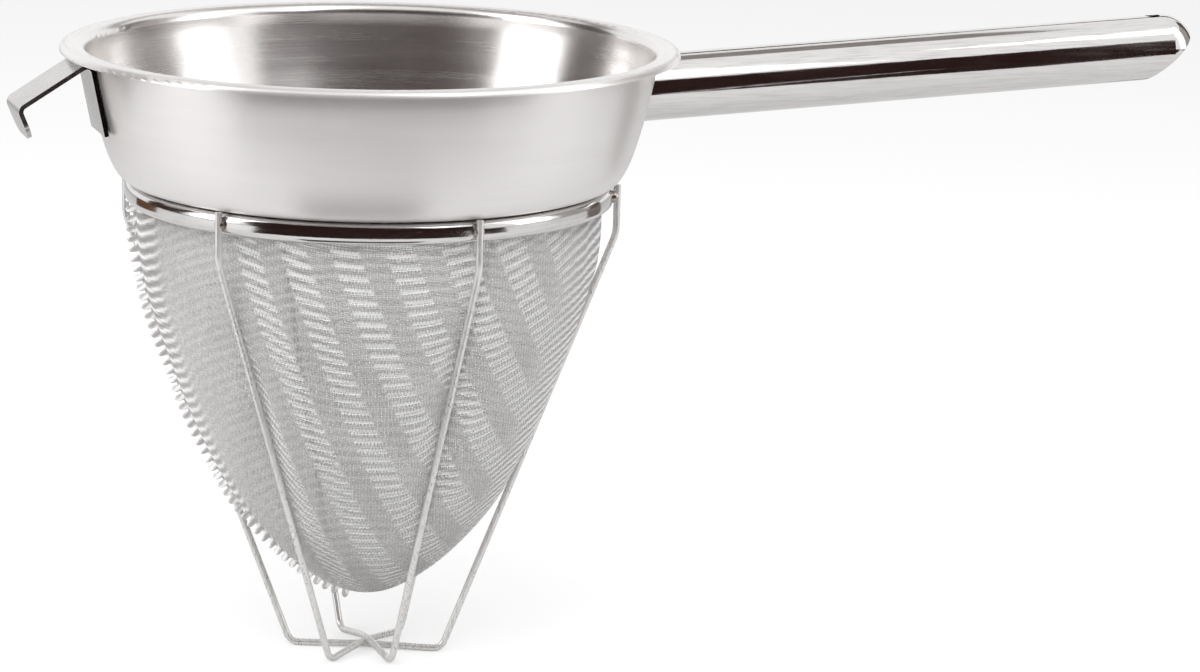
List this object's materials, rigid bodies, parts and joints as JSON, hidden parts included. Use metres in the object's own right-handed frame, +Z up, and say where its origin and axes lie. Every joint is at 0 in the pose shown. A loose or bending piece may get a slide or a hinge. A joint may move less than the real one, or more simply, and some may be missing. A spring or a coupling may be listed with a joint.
{
  "type": "chinois strainer",
  "caption": "Conical chinois strainer with a brushed steel bowl, a double woven mesh bag inside a bent wire guard, a round tube handle and a pot hook.",
  "frame": {"origin": "centre of the mouth, on the plane of the brim's crest", "axes": "+Z up along the bowl's axis, +X in plan along the handle, with the pot hook at -X"},
  "size_m": [0.4429, 0.216, 0.2239],
  "materials": {
    "satin_steel": "satin, brushed round the bowl",
    "polished_steel": "polished",
    "handle_steel": "polished along the tube",
    "strap_steel": "fine satin",
    "guard_steel": "bright drawn wire",
    "weld_steel": "cleaned weld",
    "mesh_steel": "woven wire",
    "fine_mesh_steel": "fine woven wire"
  },
  "bodies": {
    "root": {"bowl": "satin_steel", "clamp_ring": "polished_steel", "mesh_hoop": "guard_steel", "support_mesh": "mesh_steel", "fine_mesh": "fine_mesh_steel", "mesh_seam": "mesh_steel", "guard_wire_a": "guard_steel", "guard_wire_b": "guard_steel", "guard_wire_c": "guard_steel", "guard_tacks": "weld_steel", "handle_tube": "handle_steel", "handle_weld": "weld_steel", "pot_hook": "strap_steel"}
  },
  "joints": []
}
